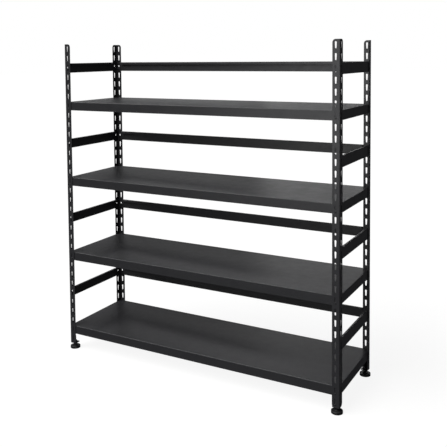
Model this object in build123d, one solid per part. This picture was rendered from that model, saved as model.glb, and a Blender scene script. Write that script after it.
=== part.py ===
from build123d import *
import math
import os

# Boltless steel shelving. Four slotted angle posts stand on levelling feet. Four folded
# steel shelves and twelve guard rails hang in the posts' keyhole slots on rivets.
#
# Millimetres. +X runs along the shelves, -Y is the open front and +Z is up. The origin
# is on the floor, under the middle of the unit.

# ---- Driving dimensions ------------------------------------------------------------

WIDTH = 1500.0  # over the posts, along X
DEPTH = 450.0  # over the posts, along Y
POST_LENGTH = 1600.0
FOOT_HEIGHT = 28.0  # floor to the lower end of the posts

# Posts: equal angles with one row of keyhole slots down each flange
POST_LEG = 35.0
POST_GAUGE = 2.0
POST_BEND_INSIDE = 1.0  # radius
POST_END_RADIUS = 15.0  # rounds the free corners of each flange
SLOT_PITCH = 50.0
SLOT_LENGTH = 30.0
SLOT_WIDE_RADIUS = 4.3  # upper end, where a rivet head goes through
SLOT_NARROW_RADIUS = 3.2  # lower end, where the rivet neck rests
SLOT_INSET = 20.0  # slot centre line from the outside of the corner

# Levels: shelf, rail, shelf, rail and so on, from the bottom
LEVEL_NAMES = ("bottom", "lower", "upper", "top")
FIRST_LEVEL_SLOT = 1  # the second slot up carries the bottom shelf

# Clearances
SHEET_GAP = 0.3  # between a post and the sheet that hangs inside it
SLOT_PLAY = 0.3  # around a rivet's neck and head in the slot
HEAD_PLAY = 0.3  # under a rivet head
SHANK_PLAY = 0.05  # around a rivet's shank in its sheet
CORNER_GAP = 1.0  # between two rails that end in the same post
THREAD_PLAY = 0.05  # around the foot's stud, in its nut and in its pad

# Rivets
RIVET_SHANK_RADIUS = 2.3
RIVET_HEAD_HEIGHT = 2.0
RIVET_TAIL_RADIUS = 4.0
RIVET_TAIL_HEIGHT = 1.4
RIVET_EDGE = 0.5  # straight rim of a head or tail, below its dome

# Shelves: one sheet folded down on four sides, with a lip turned in below
SHELF_HEIGHT = 43.0
SHELF_GAUGE = 0.8
SHELF_BEND_INSIDE = 1.2  # radius
SHELF_CORNER_INSIDE = 2.2  # radius
SHELF_LIP = 15.0
SHELF_LIP_RELIEF = 38.0  # the lips stop this far from each corner

# Stiffener: a hat section under the middle of each shelf
STIFFENER_HEIGHT = 20.0
STIFFENER_CROWN = 30.0
STIFFENER_FLANGE = 15.0
STIFFENER_GAUGE = 0.8
STIFFENER_END_GAP = 1.0  # from the shelf's bend

# Guard rails: a web with a flange turned in along the top and a lip turned down
RAIL_HEIGHT = 50.0
RAIL_GAUGE = 1.2
RAIL_FLANGE = 12.0
RAIL_LIP = 13.0
RAIL_BEND_INSIDE = 1.2  # radius
RAIL_FLANGE_GAP = 2.0  # from a post's edge to the end of the flange
RAIL_END_RADIUS = 4.0
LOCK_HOLE = 8.0  # square hole above each rivet
LOCK_HOLE_RISE = 3.0  # its centre above the slot's centre

# Feet: a bracket in the post, a nut welded on it, a threaded stud and a round pad
FOOT_INSET = 17.5  # stud axis from both outside faces of the post
BRACKET_GAUGE = 2.5
BRACKET_SIZE = 34.5  # from the outside of the post's corner
BRACKET_CHAMFER = 3.0  # cuts the inner corner of the plate
BRACKET_CORNER_CHAMFER = 3.0  # clears the bend of the post
LUG_ABOVE_RIVET = 30.0  # covers the post's lowest slot
LUG_GAUGE = 1.5
LUG_START = 10.0  # from the outside of the post's corner
NUT_WIDTH = 17.0  # across the flats
NUT_HEIGHT = 8.0
STUD_RADIUS = 5.0
STUD_LENGTH = 58.0
STUD_CHAMFER = 1.0
PAD_RADIUS = 26.0
PAD_THICKNESS = 12.0
PAD_EDGE_RADIUS = 2.0
HUB_RADIUS = 13.0
HUB_HEIGHT = 3.0  # above the pad
HUB_FLOOR = 4.0  # below the stud's socket
HUB_EDGE_RADIUS = 1.5
COLLAR_WIDTH = 14.0  # hex for a spanner, across the flats
COLLAR_HEIGHT = 4.0
COLLAR_GAP = 0.3

# ---- Values that follow ------------------------------------------------------------

SLOT_COUNT = int(POST_LENGTH // SLOT_PITCH)
SLOT_MARGIN = (POST_LENGTH - (SLOT_COUNT - 1) * SLOT_PITCH) / 2
LEVEL_STEP = SLOT_COUNT // (2 * len(LEVEL_NAMES))
SEAT_DROP = SLOT_LENGTH / 2 - SLOT_NARROW_RADIUS  # rivet axis below the slot's centre
SHEET_INSET = POST_GAUGE + SHEET_GAP  # from the outside of a post to a hung sheet

RIVET_NECK_RADIUS = SLOT_NARROW_RADIUS - SLOT_PLAY
RIVET_HEAD_RADIUS = SLOT_WIDE_RADIUS - SLOT_PLAY
HUNG_NECK = SHEET_GAP + POST_GAUGE + HEAD_PLAY

CORNERS = {"front_left": 0, "front_right": 90, "back_right": 180, "back_left": 270}
SIDES = {"front": 0, "right": 90, "back": 180, "left": 270}


def slot_z(index):
    """Height of the middle of a slot, counted from the bottom."""
    return FOOT_HEIGHT + SLOT_MARGIN + index * SLOT_PITCH


def shelf_z(level):
    """Height of the slots that carry a shelf, from level 0 at the bottom."""
    return slot_z(FIRST_LEVEL_SLOT + 2 * level * LEVEL_STEP)


def rail_z(level):
    """Height of the slots that carry the guard rails above a shelf."""
    return slot_z(FIRST_LEVEL_SLOT + (2 * level + 1) * LEVEL_STEP)


def half_span(angle):
    """Half the outside size, square to the side at this angle round the unit."""
    return DEPTH / 2 if angle % 180 == 0 else WIDTH / 2


def at_corner(angle, shape):
    """Turn a piece drawn in a corner, with its legs along +X and +Y, to its post."""
    return Rot(0, 0, angle) * Pos(-half_span(angle + 90), -half_span(angle), 0) * shape


def at_side(angle, shape, along, inset, z):
    """Put a piece on a side: its x runs along that side and its y points inward."""
    return Rot(0, 0, angle) * Pos(along, inset - half_span(angle), z) * shape


def rivet_offset(angle):
    """Distance of a side's two rivet rows from its middle."""
    return half_span(angle + 90) - SLOT_INSET


def save(shape, name):
    """Write one node, as a group where it holds several separate solids."""
    solids = list(shape) if isinstance(shape, (list, tuple)) else [shape]
    part = solids[0] if len(solids) == 1 else Compound(children=solids)
    export_step(part, "parts/" + name + ".step")


# ---- Posts -------------------------------------------------------------------------


def keyhole():
    """Outline of one slot about its middle: wide above, tapering to narrow below."""
    rise = SLOT_LENGTH / 2 - SLOT_WIDE_RADIUS
    slope = (SLOT_WIDE_RADIUS - SLOT_NARROW_RADIUS) / (rise + SEAT_DROP)
    flat = math.sqrt(1 - slope**2)
    upper = (SLOT_WIDE_RADIUS * flat, rise - SLOT_WIDE_RADIUS * slope)
    lower = (SLOT_NARROW_RADIUS * flat, -SEAT_DROP - SLOT_NARROW_RADIUS * slope)
    outline = [
        Line(lower, upper),
        ThreePointArc(upper, (0, SLOT_LENGTH / 2), (-upper[0], upper[1])),
        Line((-upper[0], upper[1]), (-lower[0], lower[1])),
        ThreePointArc((-lower[0], lower[1]), (0, -SLOT_LENGTH / 2), lower),
    ]
    return make_face(Wire(outline))


def flange_silhouette():
    """One flange seen flat: rounded free corners and the row of slots."""
    plate = Pos(POST_LEG / 2, POST_LENGTH / 2) * Rectangle(POST_LEG, POST_LENGTH)
    free = [corner for corner in plate.vertices() if corner.X > POST_LEG / 2]
    plate = fillet(free, POST_END_RADIUS)
    slot = keyhole()
    rows = [
        Pos(SLOT_INSET, SLOT_MARGIN + index * SLOT_PITCH) * slot
        for index in range(SLOT_COUNT)
    ]
    return plate - rows


def post():
    """One angle post, with its corner on the Z axis and its legs along +X and +Y."""
    corners = [
        (0, 0),
        (POST_LEG, 0),
        (POST_LEG, POST_GAUGE),
        (POST_GAUGE, POST_GAUGE),
        (POST_GAUGE, POST_LEG),
        (0, POST_LEG),
    ]
    section = make_face(Polyline(corners, close=True))
    outside = section.vertices().sort_by_distance((0, 0, 0))[0]
    section = fillet(outside, POST_BEND_INSIDE + POST_GAUGE)
    inside = section.vertices().sort_by_distance((POST_GAUGE, POST_GAUGE, 0))[0]
    section = fillet(inside, POST_BEND_INSIDE)
    angle = extrude(section, POST_LENGTH)
    flange = flange_silhouette()
    along_x = extrude(Plane.XZ * flange, -POST_LEG)
    along_y = extrude(Plane.YZ * flange, POST_LEG)
    return Pos(0, 0, FOOT_HEIGHT) * (angle & along_x & along_y)


# ---- Rivets ------------------------------------------------------------------------


def dome(radius, rim, crown):
    """A round cap from the axis at y = crown out to its rim."""
    height = crown - rim
    ball = (radius**2 + height**2) / (2 * abs(height))
    middle = math.sqrt(ball**2 - radius**2 / 4) - (ball - abs(height))
    shoulder = rim + math.copysign(middle, height)
    return ThreePointArc((0, crown), (radius / 2, shoulder), (radius, rim))


def rivet(neck, sheet):
    """A rivet along y: its head outside at -y, its tail inside the sheet at +y."""
    head_rim = -neck - RIVET_EDGE
    head_top = -neck - RIVET_HEAD_HEIGHT
    tail_rim = sheet + RIVET_EDGE
    tail_top = sheet + RIVET_TAIL_HEIGHT
    stem = Polyline(
        (RIVET_HEAD_RADIUS, head_rim),
        (RIVET_HEAD_RADIUS, -neck),
        (RIVET_NECK_RADIUS, -neck),
        (RIVET_NECK_RADIUS, 0),
        (RIVET_SHANK_RADIUS, 0),
        (RIVET_SHANK_RADIUS, sheet),
        (RIVET_TAIL_RADIUS, sheet),
        (RIVET_TAIL_RADIUS, tail_rim),
    )
    outline = [
        dome(RIVET_HEAD_RADIUS, head_rim, head_top),
        *stem.edges(),
        dome(RIVET_TAIL_RADIUS, tail_rim, tail_top),
        Line((0, tail_top), (0, head_top)),
    ]
    return revolve(make_face(outline), Axis.Y)


def rivet_hole(sheet):
    """The hole that a rivet's shank fills, through a sheet from y = 0."""
    radius = RIVET_SHANK_RADIUS + SHANK_PLAY
    drill = Rot(90, 0, 0) * Cylinder(radius, 3 * sheet)
    return Pos(0, sheet / 2, 0) * drill


def on_both_ends(angle, shape, inset, z):
    """A piece at both ends of a side, where its slots are."""
    reach = rivet_offset(angle)
    return [at_side(angle, shape, end * reach, inset, z) for end in (-1, 1)]


# ---- Shelves -----------------------------------------------------------------------


def shelf_size():
    """Outside length and depth of a shelf, which fits inside the four posts."""
    return WIDTH - 2 * SHEET_INSET, DEPTH - 2 * SHEET_INSET


def rounded_block(length, depth, height, thickness):
    """A block with rounded upright corners and a rounded top edge."""
    outline = RectangleRounded(length, depth, SHELF_CORNER_INSIDE + thickness)
    block = extrude(outline, height)
    top = block.faces().sort_by(Axis.Z)[-1]
    return fillet(top.edges(), SHELF_BEND_INSIDE + thickness)


def shelf(level):
    """One folded shelf, centred on the slots that carry it."""
    length, depth = shelf_size()
    outer = rounded_block(length, depth, SHELF_HEIGHT, SHELF_GAUGE)
    inner = rounded_block(
        length - 2 * SHELF_GAUGE, depth - 2 * SHELF_GAUGE, SHELF_HEIGHT - SHELF_GAUGE, 0
    )
    pan = outer - inner
    lip_depth = depth - 2 * SHELF_LIP_RELIEF
    lip_length = length - 2 * SHELF_LIP_RELIEF
    low = (Align.CENTER, Align.CENTER, Align.MIN)
    reach = SHELF_LIP / 2
    overlap = SHELF_GAUGE / 2
    for end in (-1, 1):
        side_x = end * (length / 2 - overlap - reach)
        pan += Pos(side_x, 0, 0) * Box(SHELF_LIP, lip_depth, SHELF_GAUGE, align=low)
        side_y = end * (depth / 2 - overlap - reach)
        pan += Pos(0, side_y, 0) * Box(lip_length, SHELF_LIP, SHELF_GAUGE, align=low)
    z = shelf_z(level)
    pan = Pos(0, 0, z - SHELF_HEIGHT / 2) * pan
    hole = rivet_hole(SHELF_GAUGE)
    for angle in SIDES.values():
        pan -= on_both_ends(angle, hole, SHEET_INSET, z - SEAT_DROP)
    return pan


def shelf_rivets(level):
    """Eight rivets, two through each side of a shelf."""
    piece = rivet(HUNG_NECK, SHELF_GAUGE)
    rivets = []
    for angle in SIDES.values():
        rivets += on_both_ends(angle, piece, SHEET_INSET, shelf_z(level) - SEAT_DROP)
    return rivets


def stiffener(level):
    """A hat section along the underside of a shelf."""
    length = shelf_size()[0] - 2 * (SHELF_GAUGE + SHELF_BEND_INSIDE + STIFFENER_END_GAP)
    top = shelf_z(level) + SHELF_HEIGHT / 2 - SHELF_GAUGE
    crown = STIFFENER_CROWN / 2
    edge = crown + STIFFENER_FLANGE
    gauge = STIFFENER_GAUGE
    half = [
        (edge, 0),
        (edge, -gauge),
        (crown, -gauge),
        (crown, -STIFFENER_HEIGHT),
    ]
    under = half + [(-y, z) for y, z in reversed(half)]
    channel = [
        (-crown + gauge, 0),
        (-crown + gauge, -STIFFENER_HEIGHT + gauge),
        (crown - gauge, -STIFFENER_HEIGHT + gauge),
        (crown - gauge, 0),
    ]
    section = make_face(Polyline(under + channel, close=True))
    hat = extrude(Plane.YZ * section, length / 2, both=True)
    return Pos(0, 0, top) * hat


# ---- Guard rails -------------------------------------------------------------------


def rail(angle):
    """One guard rail about the middle of its slots, its web's outside on y = 0."""
    end_inset = SHEET_INSET + RAIL_GAUGE + CORNER_GAP
    half_length = half_span(angle + 90) - end_inset
    top = RAIL_HEIGHT / 2
    gauge = RAIL_GAUGE
    corners = [
        (0, -top),
        (gauge, -top),
        (gauge, top - gauge),
        (RAIL_FLANGE - gauge, top - gauge),
        (RAIL_FLANGE - gauge, top - RAIL_LIP),
        (RAIL_FLANGE, top - RAIL_LIP),
        (RAIL_FLANGE, top),
        (0, top),
    ]
    section = make_face(Polyline(corners, close=True))
    bends = [
        ((0, top), RAIL_BEND_INSIDE + gauge),
        ((RAIL_FLANGE, top), RAIL_BEND_INSIDE + gauge),
        ((gauge, top - gauge), RAIL_BEND_INSIDE),
        ((RAIL_FLANGE - gauge, top - gauge), RAIL_BEND_INSIDE),
    ]
    for (y, z), radius in bends:
        corner = section.vertices().sort_by_distance((y, z, 0))[0]
        section = fillet(corner, radius)
    bar = extrude(Plane.YZ * section, half_length, both=True)

    # Inside the posts only the web goes on, as a flat tab.
    flange_half = half_span(angle + 90) - POST_LEG - RAIL_FLANGE_GAP
    tab = half_length - flange_half
    offcut = Box(2 * tab, 2 * RAIL_FLANGE, 2 * RAIL_HEIGHT)
    for end in (-1, 1):
        bar -= Pos(end * (flange_half + tab), gauge + RAIL_FLANGE, 0) * offcut
    ends = [
        edge
        for edge in bar.edges().filter_by(Axis.Y)
        if abs(edge.center().X) > half_length - gauge
    ]
    bar = fillet(ends, RAIL_END_RADIUS)

    reach = rivet_offset(angle)
    lock = Box(LOCK_HOLE, 4 * gauge, LOCK_HOLE)
    for end in (-1, 1):
        bar -= Pos(end * reach, 0, -SEAT_DROP) * rivet_hole(gauge)
        bar -= Pos(end * reach, 0, LOCK_HOLE_RISE) * lock
    return bar


# ---- Feet --------------------------------------------------------------------------


def hexagon(width, height):
    """A hexagonal prism standing on z = 0."""
    return extrude(RegularPolygon(width / 2, 6, major_radius=False), height)


def bracket():
    """A corner plate across the post's end, with a lug up inside each flange."""
    wall = POST_GAUGE
    near = wall + BRACKET_CORNER_CHAMFER
    far = BRACKET_SIZE - BRACKET_CHAMFER
    corners = [
        (near, wall),
        (BRACKET_SIZE, wall),
        (BRACKET_SIZE, far),
        (far, BRACKET_SIZE),
        (wall, BRACKET_SIZE),
        (wall, near),
    ]
    plate = extrude(make_face(Polyline(corners, close=True)), BRACKET_GAUGE)
    lug_length = BRACKET_SIZE - LUG_START
    rivet_z = SLOT_MARGIN - SEAT_DROP
    lug_height = rivet_z + LUG_ABOVE_RIVET
    low = (Align.MIN, Align.MIN, Align.MIN)
    lug = Pos(LUG_START, wall, 0) * Box(lug_length, LUG_GAUGE, lug_height, align=low)
    lug -= Pos(SLOT_INSET, wall, rivet_z) * rivet_hole(LUG_GAUGE)
    plate += lug
    plate += mirror(lug, about=Plane((0, 0, 0), z_dir=(1, -1, 0)))
    bore = Cylinder(STUD_RADIUS + THREAD_PLAY, 4 * BRACKET_GAUGE)
    plate -= Pos(FOOT_INSET, FOOT_INSET, 0) * bore
    return Pos(0, 0, FOOT_HEIGHT) * plate


def bracket_rivets():
    """Two rivets for each bracket, in the lowest slots of its post."""
    piece = rivet(POST_GAUGE + HEAD_PLAY, LUG_GAUGE)
    rivets = []
    for angle in SIDES.values():
        rivets += on_both_ends(angle, piece, POST_GAUGE, slot_z(0) - SEAT_DROP)
    return rivets


def nut():
    """The nut on top of the bracket."""
    body = hexagon(NUT_WIDTH, NUT_HEIGHT)
    body -= Cylinder(STUD_RADIUS + THREAD_PLAY, 3 * NUT_HEIGHT)
    return Pos(FOOT_INSET, FOOT_INSET, FOOT_HEIGHT + BRACKET_GAUGE) * body


def pad():
    """The round pad on the floor, with a hub that holds the stud."""
    disc = extrude(Circle(PAD_RADIUS), PAD_THICKNESS)
    disc = fillet(disc.edges().sort_by(Axis.Z)[-1], PAD_EDGE_RADIUS)
    hub_top = PAD_THICKNESS + HUB_HEIGHT
    hub = extrude(Circle(HUB_RADIUS), hub_top)
    hub = fillet(hub.edges().sort_by(Axis.Z)[-1], HUB_EDGE_RADIUS)
    socket = Pos(0, 0, HUB_FLOOR) * extrude(
        Circle(STUD_RADIUS + THREAD_PLAY), hub_top
    )
    return Pos(FOOT_INSET, FOOT_INSET, 0) * (disc + hub - socket)


def stud():
    """The threaded stud, with a hex collar above the pad's hub."""
    rod = extrude(Circle(STUD_RADIUS), STUD_LENGTH)
    rod = chamfer(rod.edges().filter_by(GeomType.CIRCLE), STUD_CHAMFER)
    bottom = HUB_FLOOR + COLLAR_GAP
    collar_z = PAD_THICKNESS + HUB_HEIGHT + COLLAR_GAP - bottom
    rod += Pos(0, 0, collar_z) * hexagon(COLLAR_WIDTH, COLLAR_HEIGHT)
    return Pos(FOOT_INSET, FOOT_INSET, bottom) * rod


# ---- The unit ----------------------------------------------------------------------


def main():
    os.makedirs("parts", exist_ok=True)
    corner_pieces = {
        "post": post(),
        "foot_bracket": bracket(),
        "foot_nut": nut(),
        "foot_pad": pad(),
        "foot_stud": stud(),
    }
    for corner, angle in CORNERS.items():
        for piece, shape in corner_pieces.items():
            save(at_corner(angle, shape), piece + "_" + corner)
    save(bracket_rivets(), "rivets_foot_brackets")

    rails = {side: rail(SIDES[side]) for side in ("back", "left", "right")}
    hung_rivet = rivet(HUNG_NECK, RAIL_GAUGE)
    for level, name in enumerate(LEVEL_NAMES):
        save(shelf(level), "shelf_" + name)
        save(stiffener(level), "stiffener_" + name)
        save(shelf_rivets(level), "rivets_shelf_" + name)
        z = rail_z(level)
        for side, shape in rails.items():
            angle = SIDES[side]
            save(at_side(angle, shape, 0, SHEET_INSET, z), "rail_" + side + "_" + name)
            rivets = on_both_ends(angle, hung_rivet, SHEET_INSET, z - SEAT_DROP)
            save(rivets, "rivets_rail_" + side + "_" + name)


main()
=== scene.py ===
"""Boltless steel shelving: finishes, levelling feet and a plain studio stage."""

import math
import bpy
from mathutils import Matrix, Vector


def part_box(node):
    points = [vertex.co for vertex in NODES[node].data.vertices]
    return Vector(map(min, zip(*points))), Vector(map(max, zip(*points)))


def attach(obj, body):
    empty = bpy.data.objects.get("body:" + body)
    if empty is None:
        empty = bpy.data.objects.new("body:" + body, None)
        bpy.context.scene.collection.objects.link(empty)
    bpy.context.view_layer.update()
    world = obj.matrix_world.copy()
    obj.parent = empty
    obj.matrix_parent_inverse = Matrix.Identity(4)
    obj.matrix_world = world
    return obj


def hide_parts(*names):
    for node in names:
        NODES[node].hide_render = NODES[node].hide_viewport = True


bl_info = {
    "name": "Boltless Steel Shelving",
    "version": (1, 0, 0),
    "blender": (4, 5, 0),
    "location": "View3D > Sidebar > Shelving",
    "description": "Finishes a four-shelf boltless steel unit and sets it in a studio",
    "category": "Object",
}

import bmesh
import bpy
from bpy.props import FloatProperty, FloatVectorProperty, PointerProperty
from bpy.types import Operator, Panel, PropertyGroup
from mathutils import Matrix, Vector

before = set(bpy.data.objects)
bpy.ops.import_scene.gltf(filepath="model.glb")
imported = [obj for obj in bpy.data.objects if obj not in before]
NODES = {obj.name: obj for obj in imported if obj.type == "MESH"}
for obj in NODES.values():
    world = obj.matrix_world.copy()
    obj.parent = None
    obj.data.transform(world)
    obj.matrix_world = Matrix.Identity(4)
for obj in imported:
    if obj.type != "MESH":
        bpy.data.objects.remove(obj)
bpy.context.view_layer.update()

MM = 0.001
CORNERS = ("front_left", "front_right", "back_right", "back_left")
LEVELS = ("bottom", "lower", "upper", "top")
SIDES = ("back", "left", "right")

MATERIAL_NAMES = {
    "powder_coat": "polyester_powder_coat_sprayed",
    "rivet_black": "cold_headed_steel_black_coat",
    "black_zinc": "black_zinc_electroplated_steel",
    "pad_plastic": "glass_filled_nylon_moulded",
}

# The M10 studs of the levelling feet.
STUD_RADIUS = 5 * MM
STUD_POINT = 1 * MM  # chamfer at the lower end
STUD_SIDES = 36
SHANK_PLAY = 0.1 * MM  # plain shank, under the nominal radius
COLLAR_GAP = 0.3 * MM  # above the pad
COLLAR_HEIGHT = 4 * MM
COLLAR_FLATS = 14 * MM
COLLAR_CHAMFER = 0.2 * MM
THREAD_START = 0.05 * MM  # above the collar
THREAD_PLAY = 0.02 * MM  # crests, under the nominal radius
THREAD_RUN_OUT = 1.2 * MM
THREAD_STEPS = 8  # rows in one turn
FLANK_SLOPE = 2.6  # depth gained in a whole pitch
CREST_FLAT = 0.15  # depth that the flat crest takes off the flank

# The nuts on the brackets.
NUT_BORE_RADIUS = 5.25 * MM
NUT_COUNTERSINK = 0.6 * MM
NUT_CHAMFER = 0.3 * MM
NUT_SIDES = 72

# Turned-down corners of the nuts and collars, and the angle that shades as an edge.
CORNER_SLOPE = math.tan(math.radians(30))
CORNER_STEPS = 5
FACE_SHARE = 0.97  # end face's radius, as a share of half the flats
SHARP_ANGLE = math.radians(35)

# Lamps. A soft box has a name, place, aim, radiance, and its width and height.
KEY_PLACE = (-2.2, -2.6, 4.0)
KEY_STRENGTH = 3.1
KEY_SPREAD = math.radians(50)
SOFT_BOXES = (
    ("front_panel", (-0.6, -4.6, 1.25), (-0.6, 0, 1.25), 2.15, (2.4, 2.1)),
    ("back_sweep", (-0.9, 6.0, 1.45), (-0.3, 0, 1.3), 2.1, (3.0, 0.75)),
    ("right_fill", (4.0, -3.0, 2.6), (0, 0, 0.8), 0.8, (2.0, 2.0)),
    ("rear_fill", (-2.5, 3.5, 4.0), (0, 0, 0.8), 1.5, (2.5, 2.5)),
)
FLOOR_SEGMENTS = 96

# Camera: its place in metres, its turns in radians and its shift in frame widths.
CAMERA_PLACE = (1.7207, -3.0971, 1.5657)
CAMERA_TURNED = 0.5192
CAMERA_TILTED = 0.0610
CAMERA_ROLLED = -0.0098
CAMERA_SHIFT = (0.0478, -0.2806)
CAMERA_REACH = 500
SENSOR_WIDTH = 36  # millimetres


def linear(hex_colour):
    """An sRGB hex colour as linear red, green and blue."""
    encoded = [int(hex_colour[i : i + 2], 16) / 255 for i in (1, 3, 5)]
    return [
        c / 12.92 if c <= 0.04045 else ((c + 0.055) / 1.055) ** 2.4 for c in encoded
    ]


def shade(colour, amount=1):
    """A colour made darker or lighter, with the alpha that a socket wants."""
    return [channel * amount for channel in colour] + [1]


def per_metre(millimetres):
    """The texture scale that gives a pattern this spacing, in object space."""
    return 1000 / millimetres


# ---- Settings ----------------------------------------------------------------------


class ShelvingFinish(PropertyGroup):
    coat_colour: FloatVectorProperty(
        name="Coat colour",
        description="Black of the powder coat",
        subtype="COLOR",
        min=0,
        max=1,
        default=linear("#2d2d2f"),
    )
    coat_worn_colour: FloatVectorProperty(
        name="Thin coat colour",
        description="Where the film is thin or rubbed, along cut edges",
        subtype="COLOR",
        min=0,
        max=1,
        default=linear("#3a3a3d"),
    )
    coat_roughness: FloatProperty(
        name="Coat roughness",
        description="0 is a mirror, 1 is chalk",
        subtype="FACTOR",
        min=0,
        max=1,
        default=0.34,
    )
    peel_spacing: FloatProperty(
        name="Orange peel",
        description="Distance between the ripples of the baked coat",
        subtype="DISTANCE",
        unit="LENGTH",
        min=0.0005,
        max=0.05,
        default=7 * MM,
    )


class ShelvingFeet(PropertyGroup):
    thread_pitch: FloatProperty(
        name="Thread pitch",
        description="Rise of the stud's thread in one turn",
        subtype="DISTANCE",
        unit="LENGTH",
        min=0.0005,
        max=0.005,
        default=1.5 * MM,
    )
    thread_depth: FloatProperty(
        name="Thread depth",
        description="From the crest of the thread to its root",
        subtype="DISTANCE",
        unit="LENGTH",
        min=0,
        max=0.003,
        default=0.85 * MM,
    )
    zinc_colour: FloatVectorProperty(
        name="Zinc colour",
        description="Black passivated zinc on the studs and nuts",
        subtype="COLOR",
        min=0,
        max=1,
        default=linear("#4a4a4d"),
    )
    nylon_colour: FloatVectorProperty(
        name="Nylon colour",
        description="Moulded black of the pads",
        subtype="COLOR",
        min=0,
        max=1,
        default=linear("#1c1c1d"),
    )


class ShelvingStage(PropertyGroup):
    floor_colour: FloatVectorProperty(
        name="Floor colour",
        description="Pale painted studio floor",
        subtype="COLOR",
        min=0,
        max=1,
        default=linear("#f4f4f4"),
    )
    floor_radius: FloatProperty(
        name="Floor radius",
        description="Half the size of the round floor",
        subtype="DISTANCE",
        unit="LENGTH",
        min=2,
        max=200,
        default=60,
    )
    lens: FloatProperty(
        name="Lens",
        description="Focal length on a 36 mm wide sensor",
        subtype="DISTANCE_CAMERA",
        min=10,
        max=300,
        default=56.92,
    )


# ---- Materials ---------------------------------------------------------------------

# A Mix node's colours go by number, because its sockets share their names.
MIX_FIRST, MIX_SECOND, MIXED = 6, 7, 2


def fill_sockets(tree, node, sockets):
    """Give each socket its value, or a link from another node's output."""
    for socket, value in sockets.items():
        if isinstance(value, bpy.types.NodeSocket):
            tree.links.new(value, node.inputs[socket])
        else:
            node.inputs[socket].default_value = value


def add_node(tree, kind, sockets=None, **settings):
    """Add a shader node with its settings, and fill its sockets."""
    node = tree.nodes.new("ShaderNode" + kind)
    for name, value in settings.items():
        setattr(node, name, value)
    fill_sockets(tree, node, sockets or {})
    return node


def new_material(name):
    """An empty material with a Principled shader, its tree and object coordinates."""
    material = bpy.data.materials.new(name)
    material.use_nodes = True
    tree = material.node_tree
    shader = tree.nodes["Principled BSDF"]
    coordinates = add_node(tree, "TexCoord").outputs["Object"]
    return material, tree, shader, coordinates


def powder_coat(finish):
    """Polyester powder coat, sprayed and baked on folded steel.

    It gives a deep black with a soft broad gloss, the shallow ripple called orange
    peel, a fine grain, and a slightly thinner, duller film along the cut edges. A real
    one's grain is finer, and is drawn as coarse as it needs to show from close by.
    """
    material, tree, shader, place = new_material(MATERIAL_NAMES["powder_coat"])

    # Film thickness drifts over a hand's width; a wiped sheet is duller in patches.
    drift = add_node(
        tree,
        "TexNoise",
        {"Vector": place, "Scale": per_metre(160), "Detail": 3, "Roughness": 0.5},
    )
    grain = add_node(
        tree,
        "TexNoise",
        {"Vector": place, "Scale": per_metre(2.2), "Detail": 2, "Roughness": 0.6},
    )
    smear = add_node(
        tree,
        "TexNoise",
        {"Vector": place, "Scale": per_metre(45), "Detail": 5, "Roughness": 0.62},
    )

    # Edges: the rounded normal leaves the true one within a few millimetres of them.
    soft_normal = add_node(tree, "Bevel", {"Radius": 1.6 * MM}, samples=4)
    true_normal = add_node(tree, "NewGeometry")
    agreement = add_node(
        tree,
        "VectorMath",
        {0: soft_normal.outputs["Normal"], 1: true_normal.outputs["Normal"]},
        operation="DOT_PRODUCT",
    )
    edge = add_node(
        tree,
        "MapRange",
        {"Value": agreement.outputs["Value"], "From Min": 0.995, "From Max": 0.86},
        interpolation_type="SMOOTHSTEP",
    )
    rubbed = add_node(
        tree,
        "MapRange",
        {"Value": smear.outputs["Fac"], "From Min": 0.38, "From Max": 0.7},
    )
    edge_wear = add_node(
        tree,
        "Math",
        {0: edge.outputs["Result"], 1: rubbed.outputs["Result"]},
        operation="MULTIPLY",
    )

    film = add_node(
        tree,
        "Mix",
        {
            0: drift.outputs["Fac"],
            MIX_FIRST: shade(finish.coat_colour, 0.8),
            MIX_SECOND: shade(finish.coat_colour, 1.05),
        },
        data_type="RGBA",
    )
    speckled = add_node(
        tree,
        "Mix",
        {
            0: grain.outputs["Fac"],
            MIX_FIRST: film.outputs[MIXED],
            MIX_SECOND: shade(finish.coat_colour, 1.15),
        },
        data_type="RGBA",
    )
    colour = add_node(
        tree,
        "Mix",
        {
            0: edge_wear.outputs[0],
            MIX_FIRST: speckled.outputs[MIXED],
            MIX_SECOND: shade(finish.coat_worn_colour),
        },
        data_type="RGBA",
    )

    gloss = add_node(
        tree,
        "MapRange",
        {
            "Value": smear.outputs["Fac"],
            "From Min": 0.3,
            "From Max": 0.7,
            "To Min": finish.coat_roughness - 0.035,
            "To Max": finish.coat_roughness + 0.05,
        },
    )
    duller = add_node(
        tree,
        "Math",
        {0: edge_wear.outputs[0], 1: 0.12, 2: gloss.outputs["Result"]},
        operation="MULTIPLY_ADD",
    )

    peel = add_node(
        tree,
        "TexNoise",
        {
            "Vector": place,
            "Scale": 1 / finish.peel_spacing,
            "Detail": 1.5,
            "Roughness": 0.4,
        },
    )
    ripple = add_node(
        tree,
        "Bump",
        {"Height": peel.outputs["Fac"], "Strength": 0.22, "Distance": 0.25 * MM},
    )
    texture = add_node(
        tree,
        "Bump",
        {
            "Height": grain.outputs["Fac"],
            "Normal": ripple.outputs["Normal"],
            "Strength": 0.12,
            "Distance": 0.06 * MM,
        },
    )
    fill_sockets(
        tree,
        shader,
        {
            "Metallic": 0,
            "IOR": 1.5,
            "Base Color": colour.outputs[MIXED],
            "Roughness": duller.outputs[0],
            "Normal": texture.outputs["Normal"],
        },
    )
    return material


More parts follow.
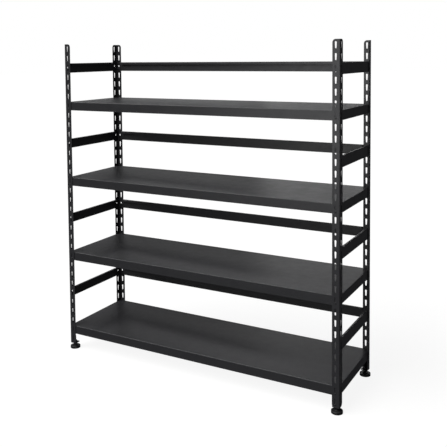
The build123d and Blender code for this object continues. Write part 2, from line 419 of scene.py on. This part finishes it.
def coated_rivet_steel():
    """Cold-headed steel rivets with a thin baked black coat.

    It gives a mottle from black to dark grey, glossier where it is darker, and fine
    pits. Real pits are finer, and are drawn as coarse as they need to show close by.
    """
    material, tree, shader, place = new_material(MATERIAL_NAMES["rivet_black"])
    mottle = add_node(
        tree,
        "TexNoise",
        {"Vector": place, "Scale": per_metre(3), "Detail": 4, "Roughness": 0.65},
    )
    colour = add_node(tree, "ValToRGB", {"Fac": mottle.outputs["Fac"]})
    dark, light = colour.color_ramp.elements
    dark.position, dark.color = 0.3, shade(linear("#131315"))
    light.position, light.color = 0.75, shade(linear("#2b2b2e"))
    rough = add_node(
        tree,
        "MapRange",
        {"Value": mottle.outputs["Fac"], "To Min": 0.28, "To Max": 0.5},
    )
    pits = add_node(
        tree,
        "TexNoise",
        {"Vector": place, "Scale": per_metre(0.9), "Detail": 2, "Roughness": 0.5},
    )
    bump = add_node(
        tree,
        "Bump",
        {"Height": pits.outputs["Fac"], "Strength": 0.3, "Distance": 0.08 * MM},
    )
    fill_sockets(
        tree,
        shader,
        {
            "Metallic": 0,
            "IOR": 1.5,
            "Base Color": colour.outputs["Color"],
            "Roughness": rough.outputs["Result"],
            "Normal": bump.outputs["Normal"],
        },
    )
    return material


def black_zinc(feet):
    """Zinc electroplated on turned steel, passivated black.

    It gives a dark grey metal with a cloudy roughness and fine turning lines round
    the axis.
    """
    material, tree, shader, place = new_material(MATERIAL_NAMES["black_zinc"])
    cloud = add_node(
        tree,
        "TexNoise",
        {"Vector": place, "Scale": per_metre(6), "Detail": 4, "Roughness": 0.6},
    )
    colour = add_node(
        tree,
        "Mix",
        {
            0: cloud.outputs["Fac"],
            MIX_FIRST: shade(feet.zinc_colour, 0.72),
            MIX_SECOND: shade(feet.zinc_colour),
        },
        data_type="RGBA",
    )
    rough = add_node(
        tree,
        "MapRange",
        {
            "Value": cloud.outputs["Fac"],
            "From Min": 0.3,
            "From Max": 0.7,
            "To Min": 0.26,
            "To Max": 0.46,
        },
    )
    # Bands repeat every 2 pi / 20 of a wave's unit, so these lie 0.19 mm apart.
    lines = add_node(
        tree,
        "TexWave",
        {"Vector": place, "Scale": per_metre(0.6), "Distortion": 1.2, "Detail": 2},
        wave_type="BANDS",
        bands_direction="Z",
    )
    bump = add_node(
        tree,
        "Bump",
        {"Height": lines.outputs["Fac"], "Strength": 0.15, "Distance": 0.03 * MM},
    )
    fill_sockets(
        tree,
        shader,
        {
            "Metallic": 1,
            "Base Color": colour.outputs[MIXED],
            "Roughness": rough.outputs["Result"],
            "Normal": bump.outputs["Normal"],
        },
    )
    return material


def moulded_nylon(feet):
    """Glass-filled nylon, injection moulded.

    It gives a black with a soft sheen, a spark-eroded grain and scattered paler
    scuffs. A real grain is finer, and is drawn as coarse as it needs to show close by.
    """
    material, tree, shader, place = new_material(MATERIAL_NAMES["pad_plastic"])
    grain = add_node(
        tree,
        "TexNoise",
        {"Vector": place, "Scale": per_metre(1.4), "Detail": 3, "Roughness": 0.6},
    )
    scuff = add_node(
        tree,
        "TexNoise",
        {"Vector": place, "Scale": per_metre(9), "Detail": 5, "Roughness": 0.7},
    )
    scuffed = add_node(
        tree,
        "MapRange",
        {"Value": scuff.outputs["Fac"], "From Min": 0.5, "From Max": 0.75},
    )
    colour = add_node(
        tree,
        "Mix",
        {
            0: scuffed.outputs["Result"],
            MIX_FIRST: shade(feet.nylon_colour),
            MIX_SECOND: shade(feet.nylon_colour, 2.2),
        },
        data_type="RGBA",
    )
    rough = add_node(
        tree,
        "MapRange",
        {"Value": grain.outputs["Fac"], "To Min": 0.38, "To Max": 0.6},
    )
    bump = add_node(
        tree,
        "Bump",
        {"Height": grain.outputs["Fac"], "Strength": 0.35, "Distance": 0.1 * MM},
    )
    fill_sockets(
        tree,
        shader,
        {
            "Metallic": 0,
            "IOR": 1.53,
            "Base Color": colour.outputs[MIXED],
            "Roughness": rough.outputs["Result"],
            "Normal": bump.outputs["Normal"],
        },
    )
    return material


def painted_floor(stage):
    """Matt emulsion rolled on a studio floor: pale, with a faint roller nap.

    It glows to a plain white, and answers the lamps only enough to hold a shadow. A
    real nap is finer, and is drawn as coarse as it needs to show.
    """
    material, tree, shader, place = new_material("matt_emulsion_rolled")
    nap = add_node(
        tree,
        "TexNoise",
        {"Vector": place, "Scale": per_metre(25), "Detail": 3, "Roughness": 0.6},
    )
    colour = add_node(
        tree,
        "Mix",
        {
            0: nap.outputs["Fac"],
            MIX_FIRST: shade(stage.floor_colour, 0.98),
            MIX_SECOND: shade(stage.floor_colour),
        },
        data_type="RGBA",
    )
    bump = add_node(
        tree, "Bump", {"Height": nap.outputs["Fac"], "Strength": 0.1, "Distance": MM}
    )
    fill_sockets(
        tree,
        shader,
        {
            "Emission Color": colour.outputs[MIXED],
            "Emission Strength": 1.0,
            "Base Color": shade(linear("#6b6b6a")),
            "Roughness": 0.9,
            "Specular IOR Level": 0,
            "Normal": bump.outputs["Normal"],
        },
    )
    return material


def material_for(slot):
    """The one material for a record slot, made the first time it is asked for."""
    made = bpy.data.materials.get(MATERIAL_NAMES[slot])
    if made:
        return made
    scene = bpy.context.scene
    if slot == "powder_coat":
        return powder_coat(scene.shelving_finish)
    if slot == "rivet_black":
        return coated_rivet_steel()
    if slot == "black_zinc":
        return black_zinc(scene.shelving_feet)
    return moulded_nylon(scene.shelving_feet)


def finish_node(name, slot):
    """Give a CAD node its finish in place of what it came with."""
    node = NODES.get(name)
    if node is None:
        raise RuntimeError("the frame has no node named " + name)
    node.data.materials.clear()
    node.data.materials.append(material_for(slot))


# ---- Meshes ------------------------------------------------------------------------


def add_piece(name, mesh, body, slot):
    """Link a mesh as a piece that rides on a CAD body, with a record finish."""
    mesh.polygons.foreach_set("use_smooth", [True] * len(mesh.polygons))
    mesh.set_sharp_from_angle(angle=SHARP_ANGLE)
    piece = bpy.data.objects.new(name, mesh)
    bpy.context.scene.collection.objects.link(piece)
    mesh.materials.append(material_for(slot))
    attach(piece, body)
    return piece


def turned_mesh(name, rows, sides, middle, hollow=False):
    """A closed mesh from rows of (z, radius at an angle) round an upright axis.

    A hollow one joins its last row to its first, and a solid one has both ends capped.
    """
    mesh = bpy.data.meshes.new(name)
    work = bmesh.new()
    rings = []
    for z, radius_at in rows:
        ring = []
        for k in range(sides):
            turn = 2 * math.pi * k / sides
            r = radius_at(turn)
            ring.append(work.verts.new((r * math.cos(turn), r * math.sin(turn), z)))
        rings.append(ring)
    following = rings[1:] + rings[:1] if hollow else rings[1:]
    for ring, beyond in zip(rings, following):
        for k in range(sides):
            n = (k + 1) % sides
            work.faces.new((ring[k], ring[n], beyond[n], beyond[k]))
    if not hollow:
        work.faces.new(list(reversed(rings[0])))
        work.faces.new(rings[-1])
    work.to_mesh(mesh)
    work.free()
    mesh.transform(Matrix.Translation((middle.x, middle.y, 0)))
    return mesh


def circle(radius):
    """A row's radius that is the same at every angle."""
    return lambda turn: radius


def hexagon(across_flats, turned, largest):
    """A row's radius for a hexagon whose corners are cut back to a largest one."""

    def radius_at(turn):
        off_flat = (turn + turned) % (math.pi / 3) - math.pi / 6
        return min(across_flats / 2 / math.cos(off_flat), largest)

    return radius_at


def hex_rows(bottom, top, across_flats, chamfer, turned=0):
    """Rows of a hexagonal prism whose corners are turned down at both ends."""
    corner_loss = across_flats / 2 * (2 / math.sqrt(3) - 1)
    rise = corner_loss * CORNER_SLOPE + chamfer
    steps = range(CORNER_STEPS + 1)
    heights = [bottom + rise * k / CORNER_STEPS for k in steps]
    heights += [top - rise * k / CORNER_STEPS for k in reversed(steps)]
    rows = []
    for z in heights:
        depth = min(z - bottom, top - z)
        cone = across_flats / 2 * FACE_SHARE + depth / CORNER_SLOPE
        rows.append((z, hexagon(across_flats, turned, cone)))
    return rows


def thread_cut(phase):
    """Depth of the thread along one pitch, from 0 at its crest to 1 at its root."""
    return min(1.0, max(0.0, abs(phase - 0.5) * FLANK_SLOPE - CREST_FLAT))


# ---- Operators ---------------------------------------------------------------------


class SHELVING_OT_posts(Operator):
    """Coat the four slotted posts and the brackets in their lower ends"""

    bl_idname = "shelving.posts"
    bl_label = "Posts"

    def execute(self, context):
        for corner in CORNERS:
            finish_node("post_" + corner, "powder_coat")
            finish_node("foot_bracket_" + corner, "powder_coat")
        finish_node("rivets_foot_brackets", "rivet_black")
        return {"FINISHED"}


class SHELVING_OT_shelves(Operator):
    """Coat the four folded shelves and the hat sections under them"""

    bl_idname = "shelving.shelves"
    bl_label = "Shelves"

    def execute(self, context):
        for level in LEVELS:
            finish_node("shelf_" + level, "powder_coat")
            finish_node("stiffener_" + level, "powder_coat")
            finish_node("rivets_shelf_" + level, "rivet_black")
        return {"FINISHED"}


class SHELVING_OT_rails(Operator):
    """Coat the twelve guard rails and their rivets"""

    bl_idname = "shelving.rails"
    bl_label = "Guard rails"

    def execute(self, context):
        for level in LEVELS:
            for side in SIDES:
                finish_node("rail_" + side + "_" + level, "powder_coat")
                finish_node("rivets_rail_" + side + "_" + level, "rivet_black")
        return {"FINISHED"}


class SHELVING_OT_feet(Operator):
    """Finish the pads, and build the threaded studs and the chamfered nuts"""

    bl_idname = "shelving.feet"
    bl_label = "Levelling feet"

    def execute(self, context):
        feet = context.scene.shelving_feet
        for corner in CORNERS:
            finish_node("foot_pad_" + corner, "pad_plastic")
            self.build_stud(corner, feet.thread_pitch, feet.thread_depth)
            self.build_nut(corner)
        return {"FINISHED"}

    def build_stud(self, corner, pitch, depth):
        """A stud with a rolled thread above its hexagonal collar."""
        low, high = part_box("foot_stud_" + corner)
        collar_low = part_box("foot_pad_" + corner)[1].z + COLLAR_GAP
        collar_high = collar_low + COLLAR_HEIGHT

        def thread_at(z):
            to_end = min(z - low.z, high.z - z)
            run_out = max(0.0, 1 - to_end / THREAD_RUN_OUT)

            def radius_at(turn):
                phase = ((z - collar_high) / pitch - turn / (2 * math.pi)) % 1
                cut = max(thread_cut(phase), run_out)
                return STUD_RADIUS - THREAD_PLAY - depth * cut

            return radius_at

        shank = circle(STUD_RADIUS - SHANK_PLAY)
        rows = [
            (low.z, circle(STUD_RADIUS - STUD_POINT)),
            (low.z + STUD_POINT, shank),
            (collar_low, shank),
            *hex_rows(collar_low, collar_high, COLLAR_FLATS, COLLAR_CHAMFER),
            (collar_high, shank),
        ]
        length = high.z - collar_high - THREAD_START
        count = int((high.z - collar_high) / (pitch / THREAD_STEPS))
        for k in range(count + 1):
            z = collar_high + THREAD_START + length * k / count
            rows.append((z, thread_at(z)))
        mesh = turned_mesh("stud_" + corner, rows, STUD_SIDES, (low + high) / 2)
        stud = add_piece("stud_" + corner, mesh, "stud_" + corner, "black_zinc")
        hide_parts("foot_stud_" + corner)

    def build_nut(self, corner):
        """A nut whose corners are turned down, standing on its bracket."""
        low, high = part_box("foot_nut_" + corner)
        across_x, across_y = high.x - low.x, high.y - low.y
        flats = min(across_x, across_y)
        turned = math.pi / 6 if across_x < across_y else 0
        rows = hex_rows(low.z, high.z, flats, NUT_CHAMFER, turned)
        rows += [
            (high.z, circle(NUT_BORE_RADIUS + NUT_COUNTERSINK)),
            (high.z - NUT_COUNTERSINK, circle(NUT_BORE_RADIUS)),
            (low.z + NUT_COUNTERSINK, circle(NUT_BORE_RADIUS)),
            (low.z, circle(NUT_BORE_RADIUS + NUT_COUNTERSINK)),
        ]
        middle = (low + high) / 2
        mesh = turned_mesh("nut_" + corner, rows, NUT_SIDES, middle, hollow=True)
        nut = add_piece("nut_" + corner, mesh, "frame", "black_zinc")
        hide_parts("foot_nut_" + corner)


class SHELVING_OT_stage(Operator):
    """Lay the floor, hang the soft lights and set the camera"""

    bl_idname = "shelving.stage"
    bl_label = "Studio stage"

    def execute(self, context):
        stage = context.scene.shelving_stage
        self.lay_floor(context, stage)
        self.fill_room(context)
        self.hang_lights(context)
        self.set_camera(context, stage)
        context.scene.view_settings.view_transform = "Standard"
        return {"FINISHED"}

    def lay_floor(self, context, stage):
        """A round floor under the unit."""
        mesh = bpy.data.meshes.new("floor")
        work = bmesh.new()
        bmesh.ops.create_circle(
            work, cap_ends=True, radius=stage.floor_radius, segments=FLOOR_SEGMENTS
        )
        work.to_mesh(mesh)
        work.free()
        mesh.materials.append(painted_floor(stage))
        floor = bpy.data.objects.new("floor", mesh)
        context.scene.collection.objects.link(floor)
        # The floor throws no light back onto the unit, as if it lay far below.
        floor.visible_diffuse = False
        floor.visible_glossy = False

    def fill_room(self, context):
        """White walls for the lens; the room that lights the unit is a dim one."""
        world = bpy.data.worlds.new("studio_room")
        context.scene.world = world
        world.use_nodes = True
        tree = world.node_tree
        white = tree.nodes["Background"]
        white.inputs["Color"].default_value = [1, 1, 1, 1]
        dim = add_node(tree, "Background", {"Color": shade(linear("#434345"))})
        ray = add_node(tree, "LightPath")
        both = add_node(
            tree,
            "MixShader",
            {0: ray.outputs["Is Camera Ray"], 1: dim.outputs[0], 2: white.outputs[0]},
        )
        tree.links.new(both.outputs[0], tree.nodes["World Output"].inputs["Surface"])

    def hang_lights(self, context):
        """A broad sun from high on the left, and soft boxes in front and behind."""
        key = self.hang(context, "key", "SUN", KEY_PLACE, (0, 0, 0))
        key.energy = KEY_STRENGTH
        key.angle = KEY_SPREAD
        for name, place, aim, radiance, size in SOFT_BOXES:
            light = self.hang(context, name, "AREA", place, aim)
            light.shape = "RECTANGLE"
            light.size, light.size_y = size
            light.energy = radiance * math.pi * size[0] * size[1]

    def hang(self, context, name, kind, place, aim):
        """The light of a lamp that faces its aim and is hidden from the camera."""
        light = bpy.data.lights.new(name, kind)
        lamp = bpy.data.objects.new(name, light)
        context.scene.collection.objects.link(lamp)
        lamp.location = place
        lamp.rotation_mode = "QUATERNION"
        towards = Vector(aim) - Vector(place)
        lamp.rotation_quaternion = towards.to_track_quat("-Z", "Y")
        lamp.visible_camera = False
        return light

    def set_camera(self, context, stage):
        """At standing eye level, to the right of the open front."""
        lens = bpy.data.cameras.new("camera")
        lens.sensor_width = SENSOR_WIDTH
        lens.lens = stage.lens
        lens.shift_x, lens.shift_y = CAMERA_SHIFT
        lens.clip_end = CAMERA_REACH
        camera = bpy.data.objects.new("camera", lens)
        context.scene.collection.objects.link(camera)
        camera.matrix_world = (
            Matrix.Translation(CAMERA_PLACE)
            @ Matrix.Rotation(CAMERA_TURNED, 4, "Z")
            @ Matrix.Rotation(math.pi / 2 - CAMERA_TILTED, 4, "X")
            @ Matrix.Rotation(CAMERA_ROLLED, 4, "Z")
        )
        context.scene.camera = camera


# ---- Panel and registration --------------------------------------------------------


class SHELVING_PT_sidebar(Panel):
    bl_label = "Shelving"
    bl_idname = "SHELVING_PT_sidebar"
    bl_space_type = "VIEW_3D"
    bl_region_type = "UI"
    bl_category = "Shelving"

    def draw(self, context):
        layout = self.layout
        for group in SETTINGS:
            settings = getattr(context.scene, group)
            box = layout.box()
            for name in settings.bl_rna.properties.keys():
                if name not in ("rna_type", "name"):
                    box.prop(settings, name)
        for operator in OPERATORS:
            layout.operator(operator.bl_idname)


SETTINGS = {
    "shelving_finish": ShelvingFinish,
    "shelving_feet": ShelvingFeet,
    "shelving_stage": ShelvingStage,
}
OPERATORS = (
    SHELVING_OT_posts,
    SHELVING_OT_shelves,
    SHELVING_OT_rails,
    SHELVING_OT_feet,
    SHELVING_OT_stage,
)
CLASSES = (*SETTINGS.values(), *OPERATORS, SHELVING_PT_sidebar)


def register():
    for each in CLASSES:
        bpy.utils.register_class(each)
    for name, group in SETTINGS.items():
        setattr(bpy.types.Scene, name, PointerProperty(type=group))


def unregister():
    for name in SETTINGS:
        delattr(bpy.types.Scene, name)
    for each in reversed(CLASSES):
        bpy.utils.unregister_class(each)


def main():
    register()
    for operator in OPERATORS:
        group, name = operator.bl_idname.split(".")
        getattr(getattr(bpy.ops, group), name)()


if __name__ == "__main__":
    main()
